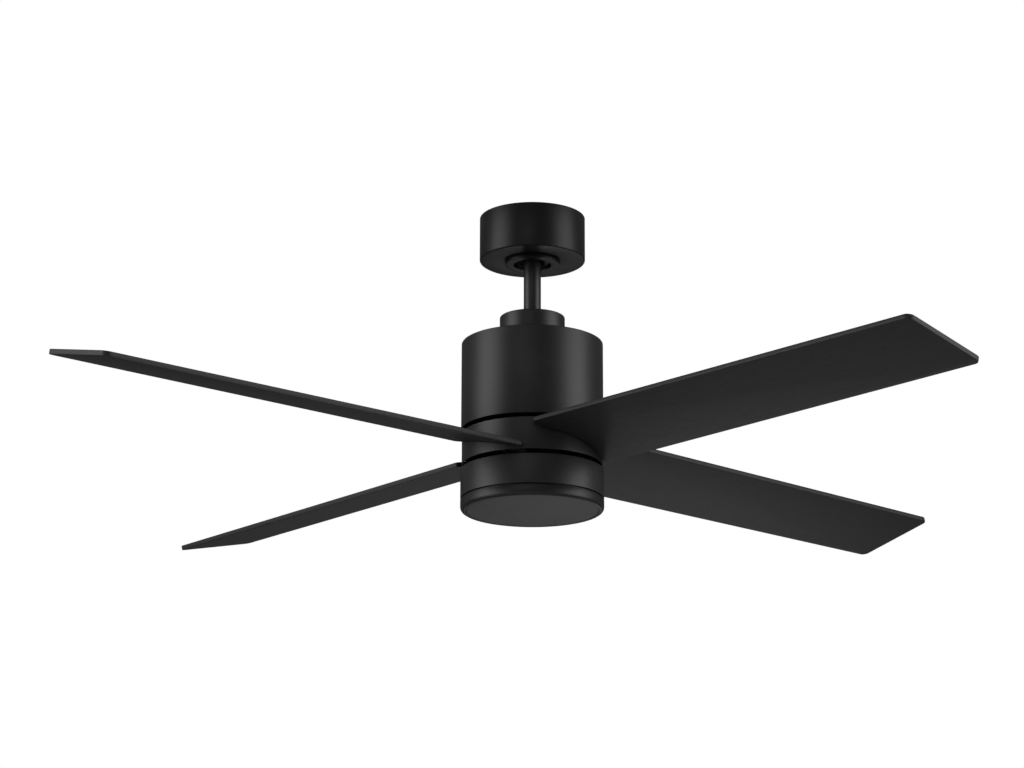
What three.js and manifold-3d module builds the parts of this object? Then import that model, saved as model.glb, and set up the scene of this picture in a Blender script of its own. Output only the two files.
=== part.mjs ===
// Ceiling fan with a light: four pitched blades on a turning hub band, hung on a short downrod from a
// ball in a ceiling bracket. Millimetres, +Z up. The origin is the middle of the bracket's top face, in the
// ceiling plane. Blade 1 points along +X.
import * as THREE from "three";
import Module from "manifold-3d";
import { mergeVertices } from "three/addons/utils/BufferGeometryUtils.js";

const wasm = await Module();
wasm.setup();

// Overall sizes
const sweepRadius = 660.5; // from the fan's axis to a blade tip
const housingRadius = 87;
const canopyRadius = 65.4;
const canopyHeight = 55.8;
const coverDrop = 128.9; // from the ceiling to the top of the yoke cover
const coverHeight = 34.6;
const housingHeight = 110.2;
const lightBandHeight = 36.4;
const bladeRootWidth = 127;
const bladeTipWidth = 118.5;
const bladeThickness = 6;
const bladePitch = THREE.MathUtils.degToRad(13.4);
const bladeDroop = THREE.MathUtils.degToRad(0.5);
const bladeCount = 4;

// Walls, rims and gaps
const sheet = 1.5; // spun and pressed steel shells
const seat = 0.3; // between two pieces that touch
const bore = 0.3; // around a screw, pin or shaft in its hole
const shellFillet = 1;
const canopyFillet = 1.8;
const coverFillet = 1.4;
const ringWidth = 11; // raised ring round the canopy's hole, centred on the canopy screws
const ringDepth = 5;
const ringWall = 1.2;
const ringFillet = 1;
const ringOverlap = 1; // ring over the edge of the canopy's hole
const hubGap = 4.4; // open gap between housing and hub band
const lightGap = 5.7; // open gap between hub band and light band
const hubBandInset = 1; // the hub band is this much slimmer than the housing
const lightFlare = 0.5; // the light band is this much wider than the housing
const hubBandRim = 4.6; // band left above and below the blade slots
const slotClearance = 0.6;
const easedEdge = 0.5; // broken edges of the shells
const innerBevel = 1; // inside corners of the shells
const rodHoleClearance = 1; // rod to the hole in the yoke cover

// Hanger
const ballRadius = 21;
const ballLift = 21.8; // ball centre above the canopy's lower face
const ballTopCut = 14;
const linerWall = 2;
const ballGap = 0.4; // ball to liner, and liner to socket
const socketWall = 2.6;
const seatLatitude = THREE.MathUtils.degToRad(-35);
const linerTopLatitude = THREE.MathUtils.degToRad(10);
const socketTopLatitude = THREE.MathUtils.degToRad(14);
const plateWidth = 32;
const plateThickness = 2.5;
const boxScrewNear = 34.9; // outlet-box screw spacings of 69.8 and 89 mm
const boxScrewFar = 44.5;
const boxSlotWidth = 5;
const armWidth = 18;
const armThickness = 2.5;
const armGap = 2.1; // socket to the inner face of an arm
const webDrop = 5; // web from socket to arm, below the ball centre
const footDepth = 8;
const plateClearance = 2; // bracket plate's corner to the canopy wall
const entryClearance = 1; // rod to the slot in the socket's side
const rodRadius = 10.65; // half-inch pipe, 21.3 across
const rodWall = 1.6;
const rodTop = 12; // above the ball centre
const receiverGap = 5; // receiver to socket
const receiverHalfWidth = 29;
const receiverLift = 15; // receiver above the canopy's lower face
const receiverClearance = 3; // receiver's corner to the canopy wall
const crossPinRadius = 2.5;
const setScrewRadius = 2;
const pinInset = 3; // pin and set screw ends inside the ball's surface

// Yoke and shaft
const yokeCoverRadius = 40.2;
const yokeWall = 4.3;
const yokeCoverRoom = 6.2; // yoke flange to its cover's outside
const yokeFillet = 2;
const yokeFlangeDepth = 5;
const yokeTopDrop = 6.5; // cover top to yoke top
const yokePinRadius = 3;
const yokePinDrop = 9; // yoke top to pin
const yokePinReach = 6; // pin end beyond the yoke
const clipOffset = 3; // clip on the pin, beyond the yoke
const clipThickness = 1;
const clipWidth = 2;
const setScrewReach = 4; // set screw end beyond the yoke
const shaftRadius = 8.5;
const shaftWall = 1.5;
const shaftShoulderDrop = 4; // below the housing's top sheet
const shaftEndReach = 2; // shaft end beyond its nut
const rodEndLift = 1; // rod end above the yoke's flange
const leadWidth = 7;
const leadDepth = 3.2;
const leadClearance = 0.2; // leads to the shaft's bore
const leadTopReach = 6; // leads above the rod
const leadEndReach = 1; // leads below the shaft

// Motor
const rotorClearance = 15; // rotor cup to housing wall
const rotorWall = 2.6;
const rotorHeight = 62;
const rotorBevel = 2;
const magnetDepth = 4;
const magnetHeight = 34;
const airGap = 0.8;
const statorHeight = 26;
const statorTeeth = 12;
const toothLength = 30;
const toothHalfWidth = 4;
const toothShoeDepth = 4;
const toothShoeShare = 0.86; // shoe width to the pitch of the teeth
const windingHeight = 9;
const windingInset = 1;
const windingGap = 12; // coils to the bearing bosses
const windingBevel = 3;
const bearingRadius = 17.5;
const bearingHeight = 11;
const bearingBoss = 4;
const rotorBaseThickness = 4;
const rotorBaseLift = 4; // rotor base above the housing's lower rim

// Blade root and hub
const rootInset = 16.3; // blade's straight root edge inside the hub band's outside
const tongueLength = 19.5;
const tongueSideGap = 16; // tongue's side to the next blade's tongue end
const padThickness = 5;
const padInset = 2; // pad end inside the blade's root edge
const padOverlap = 9; // pad into the hub ring
const padClearance = 1; // beside the tongue
const hubRingGap = 4; // tongue end to hub ring
const tipCorner = 8.5;
const rootCorner = 3;
const bladeScrewRadius = 2.5;
const bladeScrewEdge = 12; // blade screw to the tongue's side
const bladeScrewInset = 1; // screw end below the blade's upper face
const shoulderReach = 6;
const hubBoreInset = 2; // hub bore inside the bearing's outside
const bandScrewRadius = 1.5;
const shoulderThickness = 3;
const smallScrewRadius = 2;

// Light kit
const lightPlateRadius = 45;
const lightPlateThickness = 2.5;
const panScrewCircle = 34;
const nutRadius = 13;
const nutHeight = 6;
const nutSides = 6;
const trayInset = 19; // light tray to light band radius
const trayDepth = 26;
const trayWall = 2;
const driverHalfWidth = 22;
const driverHeight = 17;
const driverGap = 4; // driver to nut
const driverDrop = 3; // driver below the pan's top
const driverClearance = 3; // driver's corner to the tray wall
const boardInset = 4;
const boardThickness = 1.5;
const emitterCount = 12;
const emitterInset = 20.6; // emitter circle inside the board's edge
const emitterSize = 5;
const emitterDepth = 1.2;
const grooveHeight = 1.8;
const bezelHeight = 13;
const bezelFillet = 4.8;
const lipInset = 6.4; // bezel's lip to its outside
const lipThickness = 2.3;
const coverGap = 0.4; // cover to lip, a thin dark line
const coverFlange = 2.2;
const coverThickness = 2;
const coverDome = 3.4;
const coverRecess = 0.5;
const sleeveWall = 1.3;
const sleeveRise = 9;
const tabHeight = 3;
const tabClearance = 0.5;
const lugClearance = 0.4;
const lugHeight = 2;
const tabSpan = THREE.MathUtils.degToRad(14);
const lugSpan = THREE.MathUtils.degToRad(16);
const bayonetCount = 3;

// Facets round a full turn
const shellFacets = 36;
const innerFacets = 24;
const screwFacets = 8;
const filletSteps = 2;
const ballSteps = 9;
const ballRings = 12;
const socketSteps = 6;
const bezelSteps = 4;
const domeSteps = 4;
const over = 1; // cutting tools run this far past the faces they cut

// Heights, from the ceiling down
const ballZ = ballLift - canopyHeight;
const coverTopZ = -coverDrop;
const housingTopZ = coverTopZ - coverHeight;
const housingBottomZ = housingTopZ - housingHeight;
const bandRadius = housingRadius - hubBandInset;
const rootRadius = bandRadius - rootInset;
const slotHalfChord = Math.sqrt(bandRadius ** 2 - rootRadius ** 2);
const slotHalfHeight = slotHalfChord * Math.sin(bladePitch) + bladeThickness / 2 + slotClearance;
const bandTopZ = housingBottomZ - hubGap;
const bladeZ = bandTopZ - hubBandRim - slotHalfHeight;
const bandBottomZ = bladeZ - slotHalfHeight - hubBandRim;
const lightTopZ = bandBottomZ - lightGap;
const lightBottomZ = lightTopZ - lightBandHeight;
const bezelTopZ = lightBottomZ - grooveHeight;
const bezelBottomZ = bezelTopZ - bezelHeight;
const lipTopZ = bezelBottomZ + lipThickness;

// Radii and heights that follow from them
const linerBore = ballRadius + ballGap;
const socketBore = linerBore + linerWall + ballGap;
const socketRadius = socketBore + socketWall;
const armReach = socketRadius + armGap;
const canopyBore = (canopyRadius - sheet) * Math.cos(Math.PI / shellFacets);
const plateLength = 2 * (Math.sqrt(canopyBore ** 2 - (plateWidth / 2) ** 2) - plateClearance);
const ringHoleRadius = armReach - ringWidth / 2;
const ringOuterRadius = armReach + ringWidth / 2;
const canopyHoleRadius = ringHoleRadius + ringOverlap;
const yokeRadius = rodRadius + yokeWall;
const yokeFlangeRadius = yokeCoverRadius - yokeCoverRoom;
const yokePinZ = coverTopZ - yokeTopDrop - yokePinDrop;
const shaftBore = shaftRadius - shaftWall;
const leadOffset = shaftBore - leadDepth / 2 - leadClearance;
const shellBore = housingRadius - sheet;
const lightRadius = housingRadius + lightFlare;
const lightBore = lightRadius - sheet;
const rotorRadius = shellBore - rotorClearance;
const magnetRadius = rotorRadius - rotorWall - seat;
const statorRadius = magnetRadius - magnetDepth - airGap;
const rotorBaseZ = housingBottomZ + rotorBaseLift;
const rotorCupZ = rotorBaseZ + rotorBaseThickness + seat;
const rotorTopZ = rotorCupZ + rotorHeight;
const statorZ = rotorCupZ + (rotorHeight - rotorWall - statorHeight) / 2;
const flangeTopZ = housingTopZ + seat + yokeFlangeDepth;
const rodEndZ = flangeTopZ + rodEndLift;
const tongueEnd = rootRadius - tongueLength;
const tongueHalf = tongueEnd - tongueSideGap;
const hubRingRadius = tongueEnd - hubRingGap;
const bossRadius = bearingRadius + bore + bearingBoss;
const hubTopZ = rotorBaseZ - seat;
const hubBottomZ = bandBottomZ + hubBandRim - seat;
const lightPlateTopZ = lightTopZ + seat + lightPlateThickness;
const trayTopZ = lightTopZ - sheet - seat;
const trayBottomZ = trayTopZ - trayDepth;
const trayRadius = lightRadius - trayInset;
const nutTopZ = lightTopZ - sheet - seat;
const shaftEndZ = nutTopZ - nutHeight - shaftEndReach;
const lipRadius = lightRadius - lipInset;
const coverRadius = lipRadius - coverGap;
const sleeveBore = coverRadius + coverFlange + seat;
const sleeveRadius = sleeveBore + sleeveWall;
const tabRadius = lightBore * Math.cos(Math.PI / shellFacets) - bore;
const lugRadius = sleeveRadius + lugClearance;
const sleeveTopZ = bezelTopZ + sleeveRise;

const fan = new THREE.Group();

const blackPaint = new THREE.MeshStandardMaterial({ color: 0x191919, roughness: 0.5, metalness: 0.1 });
const blackBlade = new THREE.MeshStandardMaterial({ color: 0x1c1b1a, roughness: 0.62, metalness: 0 });
const smokedPlastic = new THREE.MeshStandardMaterial({ color: 0x242424, roughness: 0.45, metalness: 0 });
const blackPlastic = new THREE.MeshStandardMaterial({ color: 0x151515, roughness: 0.55, metalness: 0 });
const zincSteel = new THREE.MeshStandardMaterial({ color: 0xb4b6b8, roughness: 0.35, metalness: 0.9 });
const castAluminium = new THREE.MeshStandardMaterial({ color: 0xa9abad, roughness: 0.5, metalness: 0.8 });
const steelLaminate = new THREE.MeshStandardMaterial({ color: 0x6f7276, roughness: 0.45, metalness: 0.8 });
const ferrite = new THREE.MeshStandardMaterial({ color: 0x2c2d30, roughness: 0.6, metalness: 0.3 });
const copperWire = new THREE.MeshStandardMaterial({ color: 0xb0622c, roughness: 0.4, metalness: 0.7 });
const whiteBoard = new THREE.MeshStandardMaterial({ color: 0xe6e6e0, roughness: 0.5, metalness: 0 });

// A closed geometry as a solid that can be cut and joined.
function solid(geometry) {
  const bare = geometry.clone();
  bare.deleteAttribute("normal");
  bare.deleteAttribute("uv");
  const merged = mergeVertices(bare, 1e-4);
  return new wasm.Manifold(
    new wasm.Mesh({
      numProp: 3,
      vertProperties: merged.attributes.position.array,
      triVerts: new Uint32Array(merged.index.array),
    }),
  );
}

function geometryOf(body) {
  const mesh = body.getMesh();
  const geometry = new THREE.BufferGeometry();
  geometry.setAttribute("position", new THREE.BufferAttribute(new Float32Array(mesh.vertProperties), 3));
  geometry.setIndex(new THREE.BufferAttribute(new Uint32Array(mesh.triVerts), 1));
  geometry.computeVertexNormals();
  return geometry;
}

function add(name, shape, material) {
  const geometry = shape.isBufferGeometry ? shape : geometryOf(shape);
  const mesh = new THREE.Mesh(geometry, material);
  mesh.name = name;
  fan.add(mesh);
  return mesh;
}

function joined(first, ...others) {
  return others.reduce((body, other) => body.add(solid(other)), solid(first));
}

function cut(body, ...tools) {
  return tools.reduce((rest, tool) => rest.subtract(solid(tool)), body);
}

// A profile of [radius, height] points, counter-clockwise, turned about Z.
function turned(profile, facets) {
  const points = profile.map(([radius, height]) => new THREE.Vector2(radius, height));
  if (profile[0][0] > 0) points.push(points[0].clone());
  const geometry = new THREE.LatheGeometry(points, facets);
  return geometry.rotateX(Math.PI / 2);
}

// Profile points of a quarter-round corner about a centre, from one angle to another.
function arc(centreRadius, centreZ, radius, fromAngle, toAngle, steps = filletSteps) {
  return Array.from({ length: steps + 1 }, (_, i) => {
    const angle = fromAngle + ((toAngle - fromAngle) * i) / steps;
    return [centreRadius + radius * Math.cos(angle), centreZ + radius * Math.sin(angle)];
  });
}

// A straight round bar or tube along Z, from its lower to its upper end.
function bar(radius, lowZ, highZ, facets = innerFacets) {
  return turned([[0, lowZ], [radius, lowZ], [radius, highZ], [0, highZ]], facets);
}

function tube(innerRadius, radius, lowZ, highZ, facets = innerFacets) {
  return turned([[innerRadius, lowZ], [radius, lowZ], [radius, highZ], [innerRadius, highZ]], facets);
}

function box(lowX, highX, lowY, highY, lowZ, highZ) {
  const geometry = new THREE.BoxGeometry(highX - lowX, highY - lowY, highZ - lowZ);
  return geometry.translate((lowX + highX) / 2, (lowY + highY) / 2, (lowZ + highZ) / 2);
}

// A flat outline given depth along +Z.
function extruded(shape, depth, curveSegments) {
  return new THREE.ExtrudeGeometry(shape, { depth, bevelEnabled: false, curveSegments });
}

// Part of a ring, centred on an angle, between two radii and two heights.
function ringSector(innerRadius, radius, middle, span, lowZ, highZ) {
  const shape = new THREE.Shape();
  shape.absarc(0, 0, radius, middle - span / 2, middle + span / 2, false);
  shape.absarc(0, 0, innerRadius, middle + span / 2, middle - span / 2, true);
  return extruded(shape, highZ - lowZ, 4).translate(0, 0, lowZ);
}

// A pan-head screw along +Z: the head's underside is at zero and the head lies below it.
function screw(shankRadius, length, headRadius = shankRadius * 1.8, headHeight = shankRadius) {
  const dome = headHeight / 2;
  return turned(
    [
      [0, -headHeight],
      [headRadius - dome, -headHeight],
      [headRadius, dome - headHeight],
      [headRadius, 0],
      [shankRadius, 0],
      [shankRadius, length],
      [0, length],
    ],
    screwFacets,
  );
}

function alongX(geometry) {
  return geometry.rotateY(Math.PI / 2);
}

function alongY(geometry) {
  return geometry.rotateX(-Math.PI / 2);
}

// Angles of a number of equal places round the axis.
function around(count, offset = 0) {
  return Array.from({ length: count }, (_, i) => offset + (i * 2 * Math.PI) / count);
}

// From a blade's own frame (X along it, Y across, Z through it) to its place on the fan.
function bladePlace(angle) {
  return new THREE.Matrix4()
    .makeRotationZ(angle)
    .multiply(new THREE.Matrix4().makeTranslation(0, 0, bladeZ))
    .multiply(new THREE.Matrix4().makeRotationY(bladeDroop))
    .multiply(new THREE.Matrix4().makeRotationX(-bladePitch));
}

// Part of a spherical shell about the ball's centre, between two latitudes.
function sphereProfile(innerRadius, radius, lowLatitude, highLatitude) {
  const steps = 5;
  const outside = arc(0, ballZ, radius, lowLatitude, highLatitude, steps);
  const inside = arc(0, ballZ, innerRadius, highLatitude, lowLatitude, steps);
  return [...outside, ...inside];
}

// Slot in the side of the socket and its liner that lets the rod in.
function rodEntry(reach) {
  const half = rodRadius + entryClearance;
  return box(0, reach, -half, half, ballZ - reach, ballZ + reach);
}

// The hanger bracket: a plate on the outlet box, two arms down to the canopy's screws and an open socket
// held between them by two webs.
function makeBracket() {
  const armBottomZ = -canopyHeight + sheet + seat;
  const footHalf = footDepth / 2;
  const footTopZ = armBottomZ + footDepth;
  const half = armWidth / 2;
  const webHalf = half / 2;
  const slotHalf = boxSlotWidth / 2;
  const outer = armReach + armThickness;
  const socket = arc(0, ballZ, socketRadius, seatLatitude, socketTopLatitude, socketSteps);
  const seatZ = socket[0][1];
  const socketTopZ = socket[socket.length - 1][1];
  let body = joined(
    box(-plateLength / 2, plateLength / 2, -plateWidth / 2, plateWidth / 2, -plateThickness, 0),
    box(-half, half, -outer, outer, -plateThickness, 0),
    turned([[0, seatZ], ...socket, [0, socketTopZ]], innerFacets),
  );
  const sidePieces = [
    box(-half, half, armReach, outer, armBottomZ, 0),
    box(-webHalf, webHalf, socketRadius - socketWall, outer, ballZ - webDrop, socketTopZ),
    box(-webHalf, webHalf, armReach - footHalf, armReach + footHalf, armBottomZ, footTopZ),
  ];
  const screwHole = bar(smallScrewRadius + bore, armBottomZ - over, footTopZ + over, screwFacets);
  const slotEnd = bar(slotHalf, -plateThickness - over, over, screwFacets);
  const slot = box(boxScrewNear, boxScrewFar, -slotHalf, slotHalf, -plateThickness - over, over);
  for (const turn of [0, Math.PI]) {
    for (const piece of sidePieces) {
      body = body.add(solid(piece.clone().rotateZ(turn)));
    }
    body = cut(body, screwHole.clone().translate(0, armReach, 0).rotateZ(turn));
    body = cut(body, slot.clone().rotateZ(turn));
    for (const reach of [boxScrewNear, boxScrewFar]) {
      body = cut(body, slotEnd.clone().translate(reach, 0, 0).rotateZ(turn));
    }
  }
  const ballSpace = new THREE.SphereGeometry(socketBore, innerFacets, ballRings).rotateX(Math.PI / 2);
  const mouth = bar(socketBore * Math.cos(seatLatitude), ballZ - socketRadius, ballZ - webDrop);
  body = cut(body, ballSpace.translate(0, 0, ballZ), mouth, rodEntry(socketRadius + over));
  add("hanger_bracket", body, zincSteel);
}

function makeCanopy() {
  const inner = canopyRadius - sheet;
  const corner = canopyFillet - sheet;
  const bottomZ = -canopyHeight;
  let shell = solid(
    turned(
      [
        [canopyHoleRadius, bottomZ],
        ...arc(canopyRadius - canopyFillet, bottomZ + canopyFillet, canopyFillet, -Math.PI / 2, 0),
        [canopyRadius, 0],
        [inner, 0],
        ...arc(inner - corner, bottomZ + sheet + corner, corner, 0, -Math.PI / 2),
        [canopyHoleRadius, bottomZ + sheet],
      ],
      shellFacets,
    ),
  );
  around(2, -Math.PI / 2).forEach((angle, i) => {
    const hole = bar(smallScrewRadius + bore, bottomZ - over, bottomZ + sheet + over, screwFacets);
    shell = cut(shell, hole.translate(armReach, 0, 0).rotateZ(angle));
    const fastener = screw(smallScrewRadius, footDepth).translate(armReach, 0, bottomZ - seat);
    add("canopy_screw_" + (i + 1), fastener.rotateZ(angle), zincSteel);
  });
  add("canopy", shell, blackPaint);
}

// The raised ring round the canopy's hole, hollow above to clear the two screw heads.
function makeCanopyRing() {
  const topZ = -canopyHeight - seat;
  const bottomZ = -canopyHeight - ringDepth;
  const filletZ = bottomZ + ringFillet;
  const profile = [
    ...arc(ringHoleRadius + ringFillet, filletZ, ringFillet, -Math.PI, -Math.PI / 2),
    ...arc(ringOuterRadius - ringFillet, filletZ, ringFillet, -Math.PI / 2, 0),
    [ringOuterRadius, topZ],
    [ringOuterRadius - ringWall, topZ],
    [ringOuterRadius - ringWall, bottomZ + ringWall],
    [ringHoleRadius + ringWall, bottomZ + ringWall],
    [ringHoleRadius + ringWall, topZ],
    [ringHoleRadius, topZ],
  ];
  add("canopy_ring", turned(profile, shellFacets), blackPaint);
}

function makeReceiver() {
  const innerX = socketRadius + receiverGap;
  const outerX = Math.sqrt(canopyBore ** 2 - receiverHalfWidth ** 2) - receiverClearance;
  const topZ = -plateThickness - seat;
  const bottomZ = receiverLift - canopyHeight;
  const receiver = box(innerX, outerX, -receiverHalfWidth, receiverHalfWidth, bottomZ, topZ);
  add("remote_receiver", receiver, blackPlastic);
}

function makeLiner() {
  const profile = sphereProfile(linerBore, linerBore + linerWall, seatLatitude, linerTopLatitude);
  add("socket_liner", cut(solid(turned(profile, innerFacets)), rodEntry(socketRadius)), blackPlastic);
}

function makeBall() {
  const rodBore = rodRadius + bore;
  const lowLatitude = -Math.acos(rodBore / ballRadius);
  const highLatitude = Math.asin(ballTopCut / ballRadius);
  const outside = arc(0, ballZ, ballRadius, lowLatitude, highLatitude, ballSteps);
  const ball = solid(turned([...outside, [rodBore, ballZ + ballTopCut]], innerFacets));
  const pinHole = alongX(bar(crossPinRadius + bore, -ballRadius - over, ballRadius + over, screwFacets));
  const screwHole = alongY(bar(setScrewRadius + bore, 0, ballRadius + over, screwFacets));
  const screwZ = ballZ + ballTopCut / 2;
  const bored = cut(ball, pinHole.translate(0, 0, ballZ), screwHole.translate(0, 0, screwZ));
  add("hanger_ball", bored, blackPlastic);
  const reach = ballRadius - pinInset;
  add("ball_pin", alongX(bar(crossPinRadius, -reach, reach, screwFacets)).translate(0, 0, ballZ), zincSteel);
  const setScrew = alongY(bar(setScrewRadius, rodRadius + seat, reach, screwFacets));
  add("ball_set_screw", setScrew.translate(0, 0, screwZ), zincSteel);
}

function makeDownrod() {
  const rod = solid(tube(rodRadius - rodWall, rodRadius, rodEndZ, ballZ + rodTop));
  const ballPinHole = alongX(bar(crossPinRadius + bore, -rodRadius - over, rodRadius + over, screwFacets));
  const yokePinHole = alongX(bar(yokePinRadius + bore, -rodRadius - over, rodRadius + over, screwFacets));
  const drilled = cut(rod, ballPinHole.translate(0, 0, ballZ), yokePinHole.translate(0, 0, yokePinZ));
  add("downrod", drilled, blackPaint);
}

// The yoke: a sleeve that takes the rod from above and the shaft from below, on a flange over the housing.
function makeYoke() {
  const topZ = coverTopZ - yokeTopDrop;
  const flangeBottomZ = housingTopZ + seat;
  const setScrewZ = (yokePinZ + flangeTopZ) / 2;
  const profile = [
    [rodRadius + bore, flangeBottomZ],
    [yokeFlangeRadius, flangeBottomZ],
    [yokeFlangeRadius, flangeTopZ],
    [yokeRadius + yokeFillet, flangeTopZ],
    [yokeRadius, flangeTopZ + yokeFillet],
    [yokeRadius, topZ],
    [rodRadius + bore, topZ],
  ];
  const toolReach = yokeRadius + over;
  const yoke = cut(
    solid(turned(profile, innerFacets)),
    alongX(bar(yokePinRadius + bore, -toolReach, toolReach, screwFacets)).translate(0, 0, yokePinZ),
    alongY(bar(setScrewRadius + bore, -toolReach, toolReach, screwFacets)).translate(0, 0, setScrewZ),
    ...housingScrewPlaces().map(([x, y]) =>
      bar(smallScrewRadius + bore, flangeBottomZ - over, flangeTopZ + over, screwFacets).translate(x, y, 0),
    ),
  );
  add("yoke", yoke, castAluminium);
  const pinReach = yokeRadius + yokePinReach;
  const pin = alongX(bar(yokePinRadius, -pinReach, pinReach, screwFacets));
  add("yoke_pin", pin.translate(0, 0, yokePinZ), zincSteel);
  const clipX = yokeRadius + clipOffset;
  const clipRadius = yokePinRadius + clipWidth;
  const clip = tube(yokePinRadius + bore, clipRadius, clipX, clipX + clipThickness, screwFacets);
  add("yoke_pin_clip", alongX(clip).translate(0, 0, yokePinZ), zincSteel);
  [Math.PI, 0].forEach((turn, i) => {
    const grub = alongY(bar(setScrewRadius, rodRadius + seat, yokeRadius + setScrewReach, screwFacets));
    add("yoke_set_screw_" + (i + 1), grub.rotateZ(turn).translate(0, 0, setScrewZ), zincSteel);
  });
}

function makeYokeCover() {
  const bottomZ = housingTopZ + seat;
  const hole = rodRadius + rodHoleClearance;
  const inner = yokeCoverRadius - sheet;
  const profile = [
    [inner, bottomZ],
    [yokeCoverRadius, bottomZ],
    ...arc(yokeCoverRadius - coverFillet, coverTopZ - coverFillet, coverFillet, 0, Math.PI / 2),
    [hole, coverTopZ],
    [hole, coverTopZ - sheet],
    [inner - innerBevel, coverTopZ - sheet],
    [inner, coverTopZ - sheet - innerBevel],
  ];
  add("yoke_cover", turned(profile, shellFacets), blackPaint);
}

function housingScrewPlaces() {
  const reach = (yokeRadius + yokeFillet + yokeFlangeRadius) / 2;
  return around(3, Math.PI / 2).map((angle) => [reach * Math.cos(angle), reach * Math.sin(angle)]);
}

function makeHousing() {
  const shaftHole = rodRadius + bore;
  let shell = solid(
    turned(
      [
        [shellBore, housingBottomZ],
        [housingRadius - easedEdge, housingBottomZ],
        [housingRadius, housingBottomZ + easedEdge],
        ...arc(housingRadius - shellFillet, housingTopZ - shellFillet, shellFillet, 0, Math.PI / 2),
        [shaftHole, housingTopZ],
        [shaftHole, housingTopZ - sheet],
        [shellBore - innerBevel, housingTopZ - sheet],
        [shellBore, housingTopZ - sheet - innerBevel],
      ],
      shellFacets,
    ),
  );
  housingScrewPlaces().forEach(([x, y], i) => {
    const hole = bar(smallScrewRadius + bore, housingTopZ - sheet - over, housingTopZ + over, screwFacets);
    shell = cut(shell, hole.translate(x, y, 0));
    const fastener = screw(smallScrewRadius, yokeFlangeDepth + sheet + seat);
    add("housing_screw_" + (i + 1), fastener.translate(x, y, housingTopZ - sheet - seat), zincSteel);
  });
  add("upper_housing", shell, blackPaint);
}

// The fixed hollow shaft carries the stator and, at its lower end, the light kit.
function makeShaft() {
  const shoulderZ = housingTopZ - sheet - shaftShoulderDrop;
  const profile = [
    [shaftBore, shaftEndZ],
    [shaftRadius, shaftEndZ],
    [shaftRadius, shoulderZ],
    [rodRadius, shoulderZ],
    [rodRadius, rodEndZ - seat],
    [shaftBore, rodEndZ - seat],
  ];
  add("motor_shaft", turned(profile, innerFacets), steelLaminate);
}

function makeLeads() {
  const section = new THREE.Shape();
  section.absellipse(0, leadOffset, leadWidth / 2, leadDepth / 2, 0, 2 * Math.PI);
  const topZ = ballZ + rodTop + leadTopReach;
  const bottomZ = shaftEndZ - leadEndReach;
  add("lead_bundle", extruded(section, topZ - bottomZ, 5).translate(0, 0, bottomZ), blackPlastic);
}

// Laminated stator: a ring on the shaft with T-shaped teeth pointing outwards.
function makeStator() {
  const rootCircle = statorRadius - toothLength;
  const shoeRadius = statorRadius - toothShoeDepth;
  const shoeHalf = (Math.PI / statorTeeth) * toothShoeShare;
  const rootTurn = Math.asin(toothHalfWidth / rootCircle);
  const neckTurn = Math.asin(toothHalfWidth / shoeRadius);
  const outline = new THREE.Shape();
  const points = [];
  for (const angle of around(statorTeeth)) {
    const at = (radius, turn) => [radius * Math.cos(angle + turn), radius * Math.sin(angle + turn)];
    points.push(at(rootCircle, -rootTurn), at(shoeRadius, -neckTurn), at(shoeRadius, -shoeHalf));
    points.push(at(statorRadius, -shoeHalf), at(statorRadius, 0), at(statorRadius, shoeHalf));
    points.push(at(shoeRadius, shoeHalf), at(shoeRadius, neckTurn), at(rootCircle, rootTurn));
  }
  outline.setFromPoints(points.map(([x, y]) => new THREE.Vector2(x, y)));
  const hole = new THREE.Path();
  hole.absarc(0, 0, shaftRadius + bore, 0, 2 * Math.PI, true);
  outline.holes.push(hole);
  const core = extruded(outline, statorHeight, innerFacets / 2);
  add("stator_core", core.translate(0, 0, statorZ), steelLaminate);
  const inner = bossRadius + windingGap;
  const outer = shoeRadius - windingInset;
  const lower = statorZ - seat;
  const upper = statorZ + statorHeight + seat;
  for (const [name, near, far] of [
    ["winding_upper", upper, upper + windingHeight],
    ["winding_lower", lower - windingHeight, lower],
  ]) {
    const profile = [
      [inner + windingBevel, near],
      [outer - windingBevel, near],
      [outer, near + windingBevel],
      [outer, far - windingBevel],
      [outer - windingBevel, far],
      [inner + windingBevel, far],
      [inner, far - windingBevel],
      [inner, near + windingBevel],
    ];
    add(name, turned(profile, innerFacets), copperWire);
  }
}

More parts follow.
